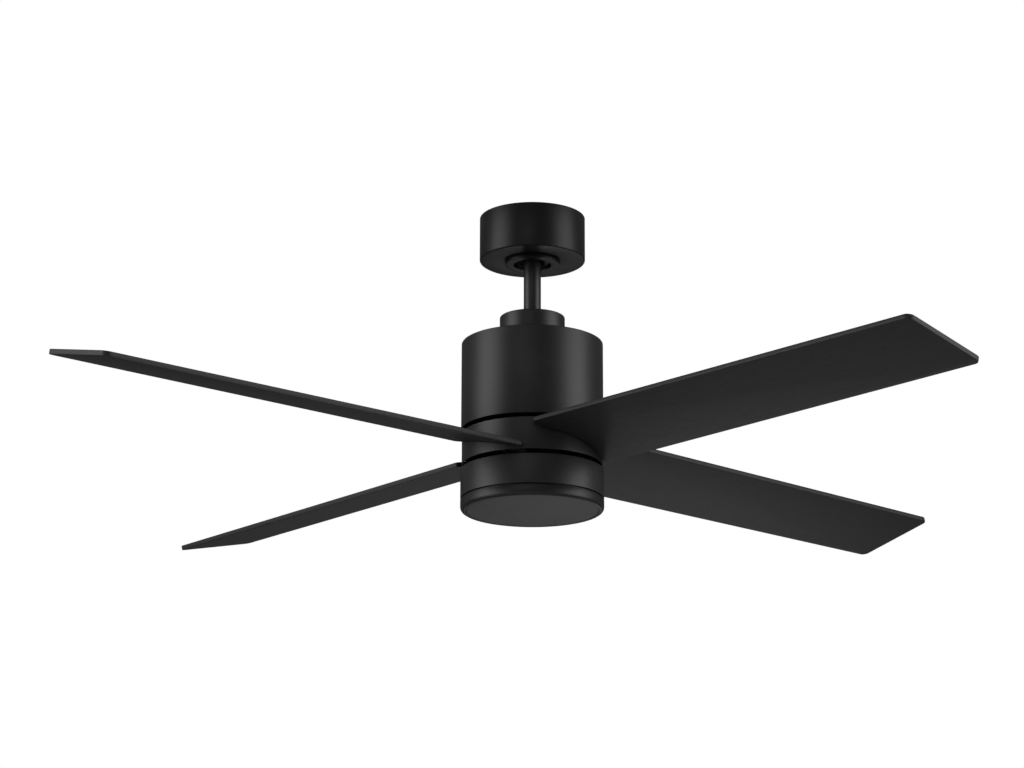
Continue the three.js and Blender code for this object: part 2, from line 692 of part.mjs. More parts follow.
function makeRotor() {
  const bearingBore = shaftRadius + bore;
  const cupFloorZ = rotorTopZ - rotorWall;
  const bossLowZ = rotorTopZ - bearingHeight - seat;
  const cup = [
    [rotorRadius - rotorWall, rotorCupZ],
    [rotorRadius, rotorCupZ],
    [rotorRadius, rotorTopZ - rotorBevel],
    [rotorRadius - rotorBevel, rotorTopZ],
    [bearingRadius + bore, rotorTopZ],
    [bearingRadius + bore, bossLowZ],
    [bossRadius, bossLowZ],
    [bossRadius, cupFloorZ],
    [rotorRadius - rotorWall, cupFloorZ],
  ];
  add("rotor_cup", turned(cup, shellFacets), castAluminium);
  const magnetZ = statorZ + (statorHeight - magnetHeight) / 2;
  const magnetBore = magnetRadius - magnetDepth;
  const magnets = tube(magnetBore, magnetRadius, magnetZ, magnetZ + magnetHeight, shellFacets);
  add("magnet_ring", magnets, ferrite);
  const baseTopZ = rotorBaseZ + rotorBaseThickness;
  const bossHighZ = rotorBaseZ + bearingHeight + seat;
  const base = [
    [bearingRadius + bore, rotorBaseZ],
    [rotorRadius, rotorBaseZ],
    [rotorRadius, baseTopZ],
    [bossRadius, baseTopZ],
    [bossRadius, bossHighZ],
    [bearingRadius + bore, bossHighZ],
  ];
  add("rotor_base", turned(base, shellFacets), castAluminium);
  const lowerZ = rotorBaseZ + seat;
  add("bearing_lower", tube(bearingBore, bearingRadius, lowerZ, lowerZ + bearingHeight - seat), zincSteel);
  const upperZ = rotorTopZ - seat;
  add("bearing_upper", tube(bearingBore, bearingRadius, upperZ - bearingHeight + seat, upperZ), zincSteel);
}

// A blade's outline, grown by a margin: straight sides with a slight taper, rounded corners and a narrower
// tongue at the root.
function bladeOutline(margin) {
  const root = rootRadius - margin;
  const tip = sweepRadius + margin;
  const end = tongueEnd - margin;
  const tongue = tongueHalf + margin;
  const taper = Math.atan((bladeRootWidth - bladeTipWidth) / 2 / (sweepRadius - rootRadius));
  const halfWidth = (radius) => bladeRootWidth / 2 + margin - (radius - rootRadius) * Math.tan(taper);
  const cornerHeight = (centre, radius) => halfWidth(centre) - radius / Math.cos(taper);
  const tipCentre = tip - tipCorner;
  const rootCentre = root + rootCorner;
  const tipAcross = cornerHeight(tipCentre, tipCorner);
  const rootAcross = cornerHeight(rootCentre, rootCorner);
  const down = 1.5 * Math.PI + taper;
  const up = Math.PI / 2 - taper;
  const outline = new THREE.Shape();
  outline.moveTo(end, -tongue);
  outline.lineTo(root, -tongue);
  outline.absarc(rootCentre, -rootAcross, rootCorner, Math.PI, down, false);
  outline.absarc(tipCentre, -tipAcross, tipCorner, down, 2 * Math.PI, false);
  outline.absarc(tipCentre, tipAcross, tipCorner, 0, up, false);
  outline.absarc(rootCentre, rootAcross, rootCorner, up, Math.PI, false);
  outline.lineTo(root, tongue);
  outline.lineTo(end, tongue);
  outline.closePath();
  return outline;
}

function bladeBoard(margin) {
  const depth = bladeThickness + 2 * margin;
  return extruded(bladeOutline(margin), depth, 3).translate(0, 0, -depth / 2);
}

// Blade screws in the blade's own frame.
function bladeScrewPlaces() {
  const along = (tongueEnd + rootRadius) / 2;
  const across = tongueHalf - bladeScrewEdge;
  return [[along, -across], [along, across]];
}

function makeBlades() {
  const padBottom = -bladeThickness / 2 - seat - padThickness;
  around(bladeCount).forEach((angle, i) => {
    const place = bladePlace(angle);
    const holes = bladeScrewPlaces().map(([x, y]) =>
      bar(bladeScrewRadius + bore, -bladeThickness, bladeThickness, screwFacets).translate(x, y, 0),
    );
    const blade = geometryOf(cut(solid(bladeBoard(0)), ...holes));
    add("blade_" + (i + 1), blade.applyMatrix4(place), blackBlade);
    bladeScrewPlaces().forEach(([x, y], j) => {
      const fastener = screw(bladeScrewRadius, padThickness + bladeThickness - bladeScrewInset);
      fastener.translate(x, y, padBottom - seat).applyMatrix4(place);
      add("blade_screw_" + (i + 1) + "ab"[j], fastener, zincSteel);
    });
  });
}

function bandScrewPlaces() {
  const reach = hubRingRadius + shoulderReach / 2;
  return around(3, Math.PI / 6).map((angle) => [reach * Math.cos(angle), reach * Math.sin(angle)]);
}

// Cast hub: a ring on the rotor base, a shoulder for the band and a slanted pad under each blade's tongue.
function makeHub() {
  const shoulderTopZ = bandTopZ - sheet - seat;
  const shoulderRadius = hubRingRadius + shoulderReach;
  const hubBore = bearingRadius - hubBoreInset;
  let hub = solid(
    turned(
      [
        [hubBore, hubBottomZ],
        [hubRingRadius, hubBottomZ],
        [hubRingRadius, shoulderTopZ - shoulderThickness],
        [shoulderRadius, shoulderTopZ - shoulderThickness],
        [shoulderRadius, shoulderTopZ],
        [hubRingRadius, shoulderTopZ],
        [hubRingRadius, hubTopZ],
        [hubBore, hubTopZ],
      ],
      innerFacets,
    ),
  );
  const padTop = -bladeThickness / 2 - seat;
  for (const angle of around(bladeCount)) {
    const place = bladePlace(angle);
    const start = hubRingRadius - padOverlap;
    const pad = box(start, rootRadius - padInset, -tongueHalf, tongueHalf, padTop - padThickness, padTop);
    hub = hub.add(solid(pad.applyMatrix4(place)));
  }
  for (const angle of around(bladeCount)) {
    const place = bladePlace(angle);
    for (const [x, y] of bladeScrewPlaces()) {
      const hole = bar(bladeScrewRadius + bore, padTop - padThickness - over, padTop + over, screwFacets);
      hub = cut(hub, hole.translate(x, y, 0).applyMatrix4(place));
    }
    const roomHalf = tongueHalf + padClearance;
    const roomTop = padTop + bladeThickness + padClearance;
    const room = box(tongueEnd - padClearance, sweepRadius, -roomHalf, roomHalf, padTop, roomTop);
    hub = cut(hub, room.applyMatrix4(place));
  }
  bandScrewPlaces().forEach(([x, y], i) => {
    const lowZ = shoulderTopZ - shoulderThickness;
    const hole = bar(bandScrewRadius + bore, lowZ - over, shoulderTopZ + over, screwFacets);
    hub = cut(hub, hole.translate(x, y, 0));
    const fastener = screw(bandScrewRadius, sheet + seat + shoulderThickness).rotateX(Math.PI);
    add("band_screw_" + (i + 1), fastener.translate(x, y, bandTopZ + seat), zincSteel);
  });
  add("blade_hub", hub, castAluminium);
}

// The turning band: a drum wall with one slanted slot for each blade and a top flange on the hub's shoulder.
function makeBand() {
  const inner = bandRadius - sheet;
  const flangeBore = hubRingRadius + bore;
  let band = solid(
    turned(
      [
        [inner, bandBottomZ],
        [bandRadius - easedEdge, bandBottomZ],
        [bandRadius, bandBottomZ + easedEdge],
        [bandRadius, bandTopZ - easedEdge],
        [bandRadius - easedEdge, bandTopZ],
        [flangeBore, bandTopZ],
        [flangeBore, bandTopZ - sheet],
        [inner, bandTopZ - sheet],
      ],
      shellFacets,
    ),
  );
  for (const angle of around(bladeCount)) {
    band = band.subtract(solid(bladeBoard(slotClearance).applyMatrix4(bladePlace(angle))));
  }
  for (const [x, y] of bandScrewPlaces()) {
    const hole = bar(bandScrewRadius + bore, bandTopZ - sheet - over, bandTopZ + over, screwFacets);
    band = cut(band, hole.translate(x, y, 0));
  }
  add("hub_band", band, blackPaint);
}

function panScrewPlaces() {
  return around(3).map((angle) => [panScrewCircle * Math.cos(angle), panScrewCircle * Math.sin(angle)]);
}

function makeLightMount() {
  const lowZ = lightTopZ + seat;
  const holes = panScrewPlaces().map(([x, y]) =>
    bar(smallScrewRadius + bore, lowZ - over, lightPlateTopZ + over, screwFacets).translate(x, y, 0),
  );
  const plate = cut(solid(tube(shaftRadius + bore, lightPlateRadius, lowZ, lightPlateTopZ)), ...holes);
  add("light_plate", plate, zincSteel);
  const nut = new THREE.CylinderGeometry(nutRadius, nutRadius, nutHeight, nutSides).rotateX(Math.PI / 2);
  nut.translate(0, 0, nutTopZ - nutHeight / 2);
  const thread = bar(shaftRadius + bore, nutTopZ - nutHeight - over, nutTopZ + over);
  add("shaft_nut", cut(solid(nut), thread), zincSteel);
}

// The light pan is the fixed band under the blades: a cup open below, with inward lugs for the bezel's tabs.
function makeLightPan() {
  let pan = solid(
    turned(
      [
        [lightBore, lightBottomZ],
        [lightRadius - easedEdge, lightBottomZ],
        [lightRadius, lightBottomZ + easedEdge],
        [lightRadius, lightTopZ - easedEdge],
        [lightRadius - easedEdge, lightTopZ],
        [shaftRadius + bore, lightTopZ],
        [shaftRadius + bore, lightTopZ - sheet],
        [lightBore, lightTopZ - sheet],
      ],
      shellFacets,
    ),
  );
  const lugTopZ = sleeveTopZ - tabHeight - tabClearance;
  for (const angle of around(bayonetCount)) {
    const lug = ringSector(lugRadius, lightBore + sheet / 2, angle, lugSpan, lugTopZ - lugHeight, lugTopZ);
    pan = pan.add(solid(lug));
  }
  panScrewPlaces().forEach(([x, y], i) => {
    const hole = bar(smallScrewRadius + bore, lightTopZ - sheet - over, lightTopZ + over, screwFacets);
    pan = cut(pan, hole.translate(x, y, 0));
    const fastener = screw(smallScrewRadius, sheet + lightPlateThickness + seat);
    add("pan_screw_" + (i + 1), fastener.translate(x, y, lightTopZ - sheet - seat), zincSteel);
  });
  add("light_pan", pan, blackPaint);
}

// The light engine: driver box above, in a tray whose floor cools the round LED board.
function makeLightEngine() {
  const trayBore = (trayRadius - trayWall) * Math.cos(Math.PI / innerFacets);
  const driverEnd = Math.sqrt(trayBore ** 2 - driverHalfWidth ** 2) - driverClearance;
  const driverTopZ = trayTopZ - driverDrop;
  const driver = box(nutRadius + driverGap, driverEnd, -driverHalfWidth, driverHalfWidth, -driverHeight, 0);
  add("led_driver", driver.translate(0, 0, driverTopZ).rotateZ(Math.PI), blackPlastic);
  const tray = [
    [0, trayBottomZ],
    [trayRadius, trayBottomZ],
    [trayRadius, trayTopZ],
    [trayRadius - trayWall, trayTopZ],
    [trayRadius - trayWall, trayBottomZ + trayWall],
    [0, trayBottomZ + trayWall],
  ];
  add("light_tray", turned(tray, innerFacets), castAluminium);
  const boardTopZ = trayBottomZ - seat;
  const boardRadius = trayRadius - boardInset;
  const boardBottomZ = boardTopZ - boardThickness;
  let board = solid(bar(boardRadius, boardBottomZ, boardTopZ));
  const half = emitterSize / 2;
  for (const angle of around(emitterCount)) {
    const highZ = boardBottomZ + boardThickness / 2;
    const emitter = box(-half, half, -half, half, boardBottomZ - emitterDepth, highZ);
    emitter.translate(boardRadius - emitterInset, 0, 0).rotateZ(angle);
    board = board.add(solid(emitter));
  }
  add("led_board", board, whiteBoard);
}

// The bezel twists off the light pan: its sleeve carries three tabs that hook over the pan's lugs.
function makeBezel() {
  const filletRadius = lightRadius - bezelFillet;
  const tabBottomZ = sleeveTopZ - tabHeight;
  let bezel = solid(
    turned(
      [
        [lipRadius, bezelBottomZ],
        ...arc(filletRadius, bezelBottomZ + bezelFillet, bezelFillet, -Math.PI / 2, 0, bezelSteps),
        [lightRadius, bezelTopZ - easedEdge],
        [lightRadius - easedEdge, bezelTopZ],
        [sleeveRadius, bezelTopZ],
        [sleeveRadius, sleeveTopZ],
        [sleeveBore, sleeveTopZ],
        [sleeveBore, lipTopZ],
        [lipRadius, lipTopZ],
      ],
      shellFacets,
    ),
  );
  for (const angle of around(bayonetCount)) {
    const tab = ringSector(sleeveRadius - sleeveWall / 2, tabRadius, angle, tabSpan, tabBottomZ, sleeveTopZ);
    bezel = bezel.add(solid(tab));
  }
  add("bezel", bezel, blackPaint);
}

// The smoked cover: a shallow dome whose flange sits on the bezel's lip.
function makeLightCover() {
  const flange = sleeveBore - seat;
  const edgeZ = bezelBottomZ + coverRecess;
  const flangeZ = lipTopZ + seat;
  const dome = (depth) =>
    Array.from({ length: domeSteps }, (_, i) => {
      const share = i / domeSteps;
      return [coverRadius * share, edgeZ + depth - coverDome * (1 - share ** 2)];
    });
  const profile = [
    ...dome(0),
    [coverRadius, edgeZ],
    [coverRadius, flangeZ],
    [flange, flangeZ],
    [flange, flangeZ + coverThickness],
    ...dome(flangeZ + coverThickness - edgeZ).reverse(),
  ];
  add("light_cover", turned(profile, shellFacets), smokedPlastic);
}

makeBracket();
makeCanopy();
makeCanopyRing();
makeReceiver();
makeLiner();
makeBall();
makeDownrod();
makeYoke();
makeYokeCover();
makeHousing();
makeShaft();
makeLeads();
makeStator();
makeRotor();
makeBlades();
makeHub();
makeBand();
makeLightMount();
makeLightPan();
makeLightEngine();
makeBezel();
makeLightCover();

export default fan;
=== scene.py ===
import math

import bmesh
import bpy
from mathutils import Matrix, Quaternion, Vector


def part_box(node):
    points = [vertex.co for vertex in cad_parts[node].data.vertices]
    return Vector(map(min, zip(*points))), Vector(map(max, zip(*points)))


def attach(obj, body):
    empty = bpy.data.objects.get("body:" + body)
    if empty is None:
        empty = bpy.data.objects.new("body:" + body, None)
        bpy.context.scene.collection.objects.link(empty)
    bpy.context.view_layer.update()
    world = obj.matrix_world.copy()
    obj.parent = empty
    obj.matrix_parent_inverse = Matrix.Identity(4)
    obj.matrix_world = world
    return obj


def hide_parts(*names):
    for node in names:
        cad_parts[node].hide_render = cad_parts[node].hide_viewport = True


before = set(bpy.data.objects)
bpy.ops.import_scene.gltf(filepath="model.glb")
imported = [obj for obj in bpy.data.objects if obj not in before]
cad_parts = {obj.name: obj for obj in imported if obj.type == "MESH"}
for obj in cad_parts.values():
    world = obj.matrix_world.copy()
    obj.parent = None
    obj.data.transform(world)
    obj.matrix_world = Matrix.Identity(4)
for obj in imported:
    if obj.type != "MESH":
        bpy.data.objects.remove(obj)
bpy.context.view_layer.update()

# The studio: a pale floor a room's height below the ceiling, a large soft box on each side of the camera and
# weak small ones in front, below and behind. The background is white and the floor pale to the camera, and
# both are dim to the fan, so that the black paint shows the soft boxes.
scene = bpy.context.scene
scene.view_settings.view_transform = "Standard"
FLOOR_Z = -2.55
FLOOR_HALF = 14
SENSOR_WIDTH = 36
LENS_LENGTH = 105.37
LIGHT_AIM = Vector((0, 0, -0.25))
CAMERA_PLACE = Vector((2.6448, -2.3498, -1.2267))
CAMERA_AZIMUTH = math.radians(138.783)  # where it looks, turned from +X
CAMERA_TILT = math.radians(15.976)  # above the horizon
CAMERA_ROLL = math.radians(0.149)


def make_camera():
    lens = bpy.data.cameras.new("camera")
    lens.sensor_width = SENSOR_WIDTH
    lens.lens = LENS_LENGTH
    camera = bpy.data.objects.new("camera", lens)
    scene.collection.objects.link(camera)
    camera.location = CAMERA_PLACE
    across = Vector((math.cos(CAMERA_AZIMUTH), math.sin(CAMERA_AZIMUTH), 0))
    forward = across * math.cos(CAMERA_TILT) + Vector((0, 0, math.sin(CAMERA_TILT)))
    camera.rotation_mode = "QUATERNION"
    level = forward.to_track_quat("-Z", "Y")
    camera.rotation_quaternion = level @ Quaternion((0, 0, 1), CAMERA_ROLL)
    scene.camera = camera


def make_world():
    """White behind the fan, and a dim grey light all round it."""
    world = bpy.data.worlds.new("studio")
    world.use_nodes = True
    scene.world = world
    nodes, links = world.node_tree.nodes, world.node_tree.links
    nodes.clear()
    seen = nodes.new("ShaderNodeBackground")
    seen.inputs["Color"].default_value = (1, 1, 1, 1)
    seen.inputs["Strength"].default_value = 1.0
    lit = nodes.new("ShaderNodeBackground")
    lit.inputs["Color"].default_value = (1, 1, 1, 1)
    lit.inputs["Strength"].default_value = 0.11
    ray = nodes.new("ShaderNodeLightPath")
    mix = nodes.new("ShaderNodeMixShader")
    out = nodes.new("ShaderNodeOutputWorld")
    links.new(ray.outputs["Is Camera Ray"], mix.inputs[0])
    links.new(lit.outputs[0], mix.inputs[1])
    links.new(seen.outputs[0], mix.inputs[2])
    links.new(mix.outputs[0], out.inputs["Surface"])


def soft_box(name, azimuth, distance, height, width, tall, power):
    """An upright area light at an azimuth counted from the camera's side of the fan."""
    data = bpy.data.lights.new(name, "AREA")
    data.shape = "RECTANGLE"
    data.size = width
    data.size_y = tall
    data.energy = power
    light = bpy.data.objects.new(name, data)
    scene.collection.objects.link(light)
    turn = CAMERA_AZIMUTH + math.pi + math.radians(azimuth)
    light.location = (distance * math.cos(turn), distance * math.sin(turn), height)
    aim = LIGHT_AIM - light.location
    light.rotation_mode = "QUATERNION"
    light.rotation_quaternion = aim.to_track_quat("-Z", "Y")


def make_floor():
    """A floor that only shows from above, so that the fan can be seen from straight below."""
    mesh = bpy.data.meshes.new("floor")
    bm = bmesh.new()
    bmesh.ops.create_grid(bm, x_segments=1, y_segments=1, size=FLOOR_HALF)
    bmesh.ops.translate(bm, verts=bm.verts, vec=(0, 0, FLOOR_Z))
    bm.to_mesh(mesh)
    bm.free()
    floor = bpy.data.objects.new("floor", mesh)
    scene.collection.objects.link(floor)
    material = bpy.data.materials.new("pale_floor")
    material.use_nodes = True
    nodes, links = material.node_tree.nodes, material.node_tree.links
    nodes.clear()
    paint = nodes.new("ShaderNodeBsdfDiffuse")
    paint.inputs["Color"].default_value = (0.4, 0.4, 0.395, 1)
    pale = nodes.new("ShaderNodeEmission")
    pale.inputs["Color"].default_value = (0.8, 0.8, 0.79, 1)
    ray = nodes.new("ShaderNodeLightPath")
    top = nodes.new("ShaderNodeMixShader")
    clear = nodes.new("ShaderNodeBsdfTransparent")
    side = nodes.new("ShaderNodeNewGeometry")
    mix = nodes.new("ShaderNodeMixShader")
    out = nodes.new("ShaderNodeOutputMaterial")
    links.new(ray.outputs["Is Camera Ray"], top.inputs[0])
    links.new(paint.outputs[0], top.inputs[1])
    links.new(pale.outputs[0], top.inputs[2])
    links.new(side.outputs["Backfacing"], mix.inputs[0])
    links.new(top.outputs[0], mix.inputs[1])
    links.new(clear.outputs[0], mix.inputs[2])
    links.new(mix.outputs[0], out.inputs["Surface"])
    mesh.materials.append(material)


make_camera()
make_world()
make_floor()
soft_box("left_box", azimuth=-75, distance=3.2, height=0.1, width=2.2, tall=3.6, power=70)
soft_box("right_box", azimuth=74, distance=3.2, height=0.1, width=2.2, tall=3.6, power=70)
soft_box("front_box", azimuth=-12, distance=4.5, height=1.4, width=2.0, tall=1.2, power=9)
soft_box("back_box", azimuth=178, distance=2.6, height=-1.85, width=0.4, tall=0.4, power=1.9)
soft_box("far_box", azimuth=162, distance=2.6, height=-1.75, width=0.4, tall=0.4, power=1.8)
soft_box("low_box", azimuth=-5, distance=2.2, height=-2.0, width=2.4, tall=0.3, power=4)


# The hanger bracket: pressed steel, zinc plated, screwed to the outlet box through its slots. Two arms carry
# the canopy's screws and the open socket that the hanger ball sits in.
def shader(material):
    """The surface shader of a new material."""
    material.use_nodes = True
    return material.node_tree.nodes["Principled BSDF"]


def link(material, start, start_socket, end, end_socket):
    """Wires one node's output to another's input."""
    material.node_tree.links.new(start.outputs[start_socket], end.inputs[end_socket])


def add_node(material, kind, **inputs):
    """A new node with its inputs set. An underscore stands for a space in an input's name."""
    node = material.node_tree.nodes.new(kind)
    for key, value in inputs.items():
        node.inputs[key.replace("_", " ")].default_value = value
    return node


def grain(material, scale, detail, stretch=(1, 1, 1), turn=0.0):
    """Noise on the piece's own metre coordinates: scale is in cells per metre."""
    place = add_node(material, "ShaderNodeTexCoord")
    mapping = add_node(material, "ShaderNodeMapping")
    mapping.inputs["Scale"].default_value = stretch
    mapping.inputs["Rotation"].default_value = (0, 0, turn)
    noise = add_node(material, "ShaderNodeTexNoise", Scale=scale, Detail=detail)
    link(material, place, "Object", mapping, "Vector")
    link(material, mapping, "Vector", noise, "Vector")
    return noise


def spread(material, source, low, high):
    """Maps the middle of a noise to a range of numbers."""
    ramp = add_node(material, "ShaderNodeMapRange")
    ramp.inputs["From Min"].default_value = 0.3
    ramp.inputs["From Max"].default_value = 0.7
    ramp.inputs["To Min"].default_value = low
    ramp.inputs["To Max"].default_value = high
    link(material, source, 0, ramp, "Value")
    return ramp


def tone(material, source, dark, light):
    """Blends between two colours by a noise."""
    ramp = add_node(material, "ShaderNodeValToRGB")
    ramp.color_ramp.elements[0].position = 0.35
    ramp.color_ramp.elements[0].color = (*dark, 1)
    ramp.color_ramp.elements[1].position = 0.65
    ramp.color_ramp.elements[1].color = (*light, 1)
    link(material, source, 0, ramp, "Fac")
    return ramp


def bump(material, source, depth, strength):
    """Raises the surface by a noise, to a depth in metres."""
    raise_by = add_node(material, "ShaderNodeBump", Strength=strength, Distance=depth)
    link(material, source, 0, raise_by, "Height")
    return raise_by


def zinc_plate(name):
    """Bright zinc plate: a clouded passivation, fine drawing lines and a few duller patches."""
    material = bpy.data.materials.new(name)
    surface = shader(material)
    cloud = grain(material, 60, 4.0)
    link(material, tone(material, cloud, (0.36, 0.37, 0.38), (0.52, 0.53, 0.53)), "Color", surface,
         "Base Color")
    lines = grain(material, 700, 3.0, stretch=(1, 1, 0.08))
    link(material, spread(material, lines, 0.26, 0.46), "Result", surface, "Roughness")
    link(material, bump(material, lines, 0.00003, 0.3), "Normal", surface, "Normal")
    surface.inputs["Metallic"].default_value = 1.0
    return material


def dress(material, *names):
    """Gives CAD nodes that keep their shape a material."""
    for name in names:
        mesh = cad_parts[name].data
        for index in range(len(mesh.materials)):
            mesh.materials[index] = material
        if not mesh.materials:
            mesh.materials.append(material)


dress(zinc_plate("bracket_zinc"), "hanger_bracket")


# The socket liner: a thin cup moulded in black nylon, open at one side to let the rod in. It lies loose in
# the socket and swings with the ball one way, and the ball turns in it the other way without squeaking.
def moulded(name, dark, light, rough, pimple=1400, depth=0.00003):
    """Moulded plastic: a fine spark texture and a slow drift in tone and gloss from the mould."""
    material = bpy.data.materials.new(name)
    surface = shader(material)
    drift = grain(material, 35, 2.0)
    link(material, tone(material, drift, dark, light), "Color", surface, "Base Color")
    spark = grain(material, pimple, 2.0)
    link(material, spread(material, spark, *rough), "Result", surface, "Roughness")
    link(material, bump(material, spark, depth, 0.4), "Normal", surface, "Normal")
    return material


dress(moulded("liner_nylon", (0.012, 0.012, 0.013), (0.02, 0.02, 0.021), (0.4, 0.5)), "socket_liner")


# The remote receiver: a small circuit in a moulded black box. It slips in beside the socket, between the
# bracket's plate and the canopy's floor.
dress(moulded("receiver_plastic", (0.009, 0.009, 0.009), (0.014, 0.014, 0.014), (0.45, 0.6), pimple=900),
      "remote_receiver")


# The hanger ball: a moulded nylon ball with polished skin, fixed on the rod by a cross pin and a set screw.
# It rests in the socket, so the whole fan can hang plumb and swing a little.
MM = 0.001
SAME_PLACE = 0.001 * MM  # vertices closer than this to a line or a level lie on it
FINE_FILLET = 0.8 * MM  # from here up a fillet gets more segments


def finish_piece(name, bm, material, body, replaces=(), smooth_angle=35):
    """Turns a bmesh into a piece of the fan, riding on its body."""
    mesh = bpy.data.meshes.new(name)
    bm.to_mesh(mesh)
    bm.free()
    mesh.polygons.foreach_set("use_smooth", [True] * len(mesh.polygons))
    mesh.set_sharp_from_angle(angle=math.radians(smooth_angle))
    mesh.materials.append(material)
    piece = bpy.data.objects.new(name, mesh)
    scene.collection.objects.link(piece)
    if replaces:
        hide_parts(*replaces)
    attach(piece, body)
    return piece


def ring_edges(bm, radius, height):
    """The edges of the circle that a profile corner sweeps."""
    def on_ring(vert):
        return abs(vert.co.xy.length - radius) < SAME_PLACE and abs(vert.co.z - height) < SAME_PLACE

    return [edge for edge in bm.edges if all(on_ring(vert) for vert in edge.verts)]


def turned(corners, steps=144):
    """Spins a closed profile of (radius, height, fillet) corners about Z and rounds its corners."""
    bm = bmesh.new()
    profile = [bm.verts.new((radius, 0, height)) for radius, height, _ in corners]
    pairs = list(zip(profile, profile[1:] + profile[:1]))
    starts_on_axis = corners[0][0] == 0
    if starts_on_axis:
        pairs.pop()
    lines = [bm.edges.new(pair) for pair in pairs]
    bmesh.ops.spin(bm, geom=profile + lines, cent=(0, 0, 0), axis=(0, 0, 1), angle=2 * math.pi,
                   steps=steps, use_merge=True, use_duplicate=False)
    bmesh.ops.remove_doubles(bm, verts=bm.verts, dist=1e-7)
    bmesh.ops.recalc_face_normals(bm, faces=bm.faces)
    for radius, height, fillet in corners:
        if fillet:
            segments = 4 if fillet >= FINE_FILLET else 2
            bmesh.ops.bevel(bm, geom=ring_edges(bm, radius, height), offset=fillet, offset_type="OFFSET",
                            affect="EDGES", segments=segments, profile=0.5, material=-1, clamp_overlap=True)
    return bm


BALL_RADIUS = 21 * MM
BALL_TOP = 14 * MM  # flat top above the centre
BALL_RINGS = 36
ROD_GAP = 0.3 * MM
ball_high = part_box("hanger_ball")[1]
ball_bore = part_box("downrod")[1].x + ROD_GAP
ball_centre = ball_high.z - BALL_TOP


def ball_corners():
    """The ball's outside from the rod's hole below to the flat top, closed along the bore."""
    low = -math.acos(ball_bore / BALL_RADIUS)
    high = math.asin(BALL_TOP / BALL_RADIUS)
    turns = [low + (high - low) * step / BALL_RINGS for step in range(BALL_RINGS + 1)]
    rings = [(BALL_RADIUS * math.cos(turn), BALL_RADIUS * math.sin(turn)) for turn in turns]
    outside = [(radius, ball_centre + height, 0) for radius, height in rings]
    return outside + [(ball_bore, ball_high.z, 0.4 * MM)]


nylon = moulded("ball_nylon", (0.011, 0.011, 0.012), (0.016, 0.016, 0.017), (0.16, 0.26), pimple=500,
                depth=0.00001)
finish_piece("nylon_ball", turned(ball_corners(), steps=96), nylon, "hanger",
             ["hanger_ball"])
dress(zinc_plate("ball_pin_zinc"), "ball_pin", "ball_set_screw")


# The canopy: a deep-drawn steel cup with a tight lower edge, powder coated matt black. It is held up against
# the ceiling by two screws through its floor into the bracket's feet.
SHEET = 1.5 * MM
CANOPY_FILLET = 1.8 * MM
CANOPY_HOLE = 24 * MM
SCREW_HOLE = 2.3 * MM
CANOPY_SCREWS = ("canopy_screw_1", "canopy_screw_2")


def powder_coat(name, dark=(0.0085, 0.0085, 0.0085), light=(0.0125, 0.0123, 0.012), rough=(0.4, 0.47),
                specular=0.45):
    """Matt black powder coat: a soft orange peel, a fine speckle in the gloss and a faint drift in tone."""
    material = bpy.data.materials.new(name)
    surface = shader(material)
    drift = grain(material, 22, 2.0)
    link(material, tone(material, drift, dark, light), "Color", surface, "Base Color")
    speckle = grain(material, 2600, 2.0)
    link(material, spread(material, speckle, *rough), "Result", surface, "Roughness")
    peel = grain(material, 900, 3.0)
    link(material, bump(material, peel, 0.00004, 0.35), "Normal", surface, "Normal")
    surface.inputs["Specular IOR Level"].default_value = specular
    return material


def cut_away(piece, bm, smooth_angle=35):
    """Cuts a closed bmesh out of a piece and keeps the result as the piece's own mesh."""
    tool = bpy.data.meshes.new("cutter")
    bm.to_mesh(tool)
    bm.free()
    cutter = bpy.data.objects.new("cutter", tool)
    scene.collection.objects.link(cutter)
    modifier = piece.modifiers.new("cut", "BOOLEAN")
    modifier.operation = "DIFFERENCE"
    modifier.solver = "EXACT"
    modifier.object = cutter
    bpy.context.view_layer.update()
    shape = piece.evaluated_get(bpy.context.evaluated_depsgraph_get())
    mesh = bpy.data.meshes.new_from_object(shape)
    piece.modifiers.clear()
    piece.data = mesh
    bpy.data.objects.remove(cutter)
    mesh.polygons.foreach_set("use_smooth", [True] * len(mesh.polygons))
    mesh.set_sharp_from_angle(angle=math.radians(smooth_angle))


def drill_bits(places, radius, low, high, steps=24):
    """One cutter with a round bit at each place, from a low to a high level."""
    bm = bmesh.new()
    for x, y in places:
        made = bmesh.ops.create_cone(bm, cap_ends=True, segments=steps, radius1=radius, radius2=radius,
                                     depth=high - low)
        bmesh.ops.translate(bm, verts=made["verts"], vec=(x, y, (low + high) / 2))
    return bm


def centres(names):
    """Where upright CAD screws stand, seen from above."""
    boxes = [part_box(name) for name in names]
    return [((low.x + high.x) / 2, (low.y + high.y) / 2) for low, high in boxes]


canopy_low, canopy_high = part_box("canopy")
canopy_radius = canopy_high.x
canopy_floor = canopy_low.z
canopy_profile = [
    (CANOPY_HOLE, canopy_floor, 0.3 * MM),
    (canopy_radius, canopy_floor, CANOPY_FILLET),
    (canopy_radius, canopy_high.z, 0.4 * MM),
    (canopy_radius - SHEET, canopy_high.z, 0.4 * MM),
    (canopy_radius - SHEET, canopy_floor + SHEET, 1.1 * MM),
    (CANOPY_HOLE, canopy_floor + SHEET, 0.3 * MM),
]


def shade_darkened_coat(name):
    """The canopy's and its ring's coat: a darker, duller copy of the drums' black powder coat below. Its
    colour is darkened as painted shade for the little light that reaches the canopy.
    """
    return powder_coat(name, dark=(0.004, 0.004, 0.004), light=(0.0065, 0.0065, 0.0063), rough=(0.37, 0.44),
                       specular=0.28)
